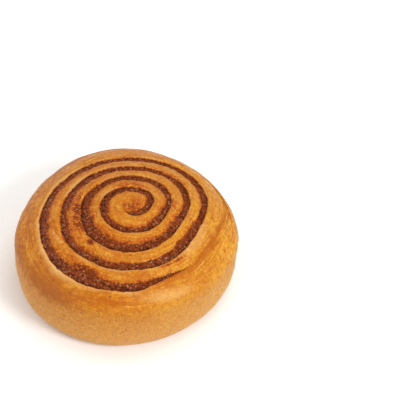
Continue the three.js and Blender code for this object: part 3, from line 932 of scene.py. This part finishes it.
def strewn_tree(name):
    """Bits strewn over two pieces, as thickly as they say, each turned, sized and shaded by chance."""
    tree, given, named = new_tree(name, {
        "Also": "Object", "Where": "String", "Per Square Metre": "Float", "Smallest": "Float",
        "Largest": "Float", "Seed": "Int", "Material": "Material"})
    add = partial(node, tree)
    also = add("GeometryNodeObjectInfo", given["Also"], out="Geometry")
    both = add("GeometryNodeJoinGeometry", given["Geometry"])
    tree.links.new(also, both.node.inputs[0])
    where = add("GeometryNodeInputNamedAttribute", given["Where"], data_type="FLOAT")
    bits = add("GeometryNodeInputNamedAttribute", "bits", data_type="FLOAT")
    dense = add("ShaderNodeMath", add("ShaderNodeMath", where, bits, operation="MULTIPLY"),
                given["Per Square Metre"], operation="MULTIPLY")
    points = add("GeometryNodeDistributePointsOnFaces", both, inputs={
        "Density": dense, "Seed": given["Seed"]})
    shade = add("FunctionNodeRandomValue", inputs={"Seed": given["Seed"]}, out=1, data_type="FLOAT")
    shaded = add("GeometryNodeStoreNamedAttribute", points, inputs={"Name": "shade", "Value": shade},
                 data_type="FLOAT")
    # Each is a knobby ball of 20 faces.
    ball = add("GeometryNodeMeshIcoSphere", 1.0, 1)
    spot = add("GeometryNodeInputPosition")
    knob = add("ShaderNodeTexNoise", inputs={"Vector": spot, "Scale": 1.3})
    knobby = add("ShaderNodeVectorMath", spot, operation="SCALE",
                 inputs={"Scale": add("ShaderNodeMapRange", knob, 0.3, 0.7, 0.6, 1.35)})
    shaped = add("GeometryNodeSetPosition", ball, inputs={"Position": knobby})
    spin = add("FunctionNodeRandomValue", (0, 0, 0), (TURN, TURN, TURN), inputs={"Seed": given["Seed"]},
               data_type="FLOAT_VECTOR")
    size = add("FunctionNodeRandomValue", out=1, data_type="FLOAT",
               inputs={2: given["Smallest"], 3: given["Largest"], "Seed": given["Seed"]})
    placed = add("GeometryNodeInstanceOnPoints", shaded, inputs={
        "Instance": shaped, "Rotation": spin, "Scale": size})
    end_tree(tree, placed, given["Material"])
    return tree, named


def strew(name, source, values):
    tree, named = strewn_tree(name)
    shown(name, grown(source, tree, named, values, name))


def make_floor():
    reach = 3.0  # metres, past the edges of any view
    corners = [(-reach, -reach, 0), (reach, -reach, 0), (reach, reach, 0), (-reach, reach, 0)]
    floor_mesh = bpy.data.meshes.new("floor")
    floor_mesh.from_pydata(corners, [], [(0, 1, 2, 3)])
    made, add = new_material("pale_matt_board")
    shader = add("ShaderNodeBsdfPrincipled", inputs={"Base Color": colour("#fcfbf9"), "Roughness": 0.8})
    add("ShaderNodeOutputMaterial", shader)
    new_object("floor", floor_mesh, made)


def soft_light(name, towards, distance, size, power):
    """A square softbox in a direction from the bun, facing it."""
    lamp = bpy.data.lights.new(name, "AREA")
    lamp.energy, lamp.size = power, size
    made = bpy.data.objects.new(name, lamp)
    bpy.context.scene.collection.objects.link(made)
    place = Vector(towards).normalized() * distance
    made.location = place
    made.rotation_euler = (-place).to_track_quat("-Z", "Y").to_euler()


# Softboxes: direction from the bun, distance and size in metres, power in watts.
SOFTBOXES = {
    "key": ((0.66, -0.41, 0.63), 0.9, 0.3, 4.4),
    "overhead": ((0.15, 0.35, 1.0), 1.0, 0.6, 2.6),
    "front": ((-0.6, -1.0, 0.5), 1.2, 0.8, 3.2),
    "side": ((-1.0, 0.45, 0.55), 1.1, 0.7, 2.2),
}
WORLD_STRENGTH = 0.6


def make_studio():
    world = bpy.data.worlds.new("studio")
    bpy.context.scene.world = world
    world.use_nodes = True
    sky = world.node_tree.nodes["Background"]
    sky.inputs["Color"].default_value = (1, 1, 1, 1)
    sky.inputs["Strength"].default_value = WORLD_STRENGTH
    for name, values in SOFTBOXES.items():
        soft_light(name, *values)
    bpy.context.scene.view_settings.view_transform = "Standard"
    bpy.context.scene.view_settings.look = "None"


def make_camera():
    """The view of the photograph: 44 degrees up, rolled 7 degrees, 650 mm from the bun's middle."""
    up, roll, distance = math.radians(44), math.radians(7), 650.0
    frame_size, focal = 400, 1300.0  # in pixels of the photograph
    seen_at = (124.59, 265.06)  # where the bun's middle on the floor falls in it
    back = Vector((0, -math.cos(up), math.sin(up)))
    level, rise = Vector((1, 0, 0)), Vector((0, math.sin(up), math.cos(up)))
    right = math.cos(roll) * level + math.sin(roll) * rise
    upward = -math.sin(roll) * level + math.cos(roll) * rise
    aside = (seen_at[0] - frame_size / 2) / focal * distance
    above = -(seen_at[1] - frame_size / 2) / focal * distance
    place = back * distance - right * aside - upward * above + Vector(OUTLINE_SHIFT)
    camera = bpy.data.cameras.new("camera")
    camera.sensor_width = 36
    camera.lens = focal / frame_size * camera.sensor_width
    made = bpy.data.objects.new("camera", camera)
    bpy.context.scene.collection.objects.link(made)
    facing = Matrix((right, upward, back)).transposed().to_4x4()
    made.matrix_world = Matrix.Translation(MM * place) @ facing
    bpy.context.scene.camera = made


dough = make_dough()
filling = make_filling()
strew("nut_bits", filling, {
    "Also": dough, "Where": "bits", "Per Square Metre": 6.6e5, "Smallest": 0.2 * MM, "Largest": 0.62 * MM,
    "Seed": 11, "Material": chopped_nut()})
# Syrup beads, brightened into painted glints on the wet filling.
strew("syrup_beads", filling, {
    "Also": dough, "Where": "wet", "Per Square Metre": 1.6e5, "Smallest": 0.18 * MM, "Largest": 0.36 * MM,
    "Seed": 12, "Material": syrup_with_painted_glint()})
make_floor()
make_studio()
make_camera()
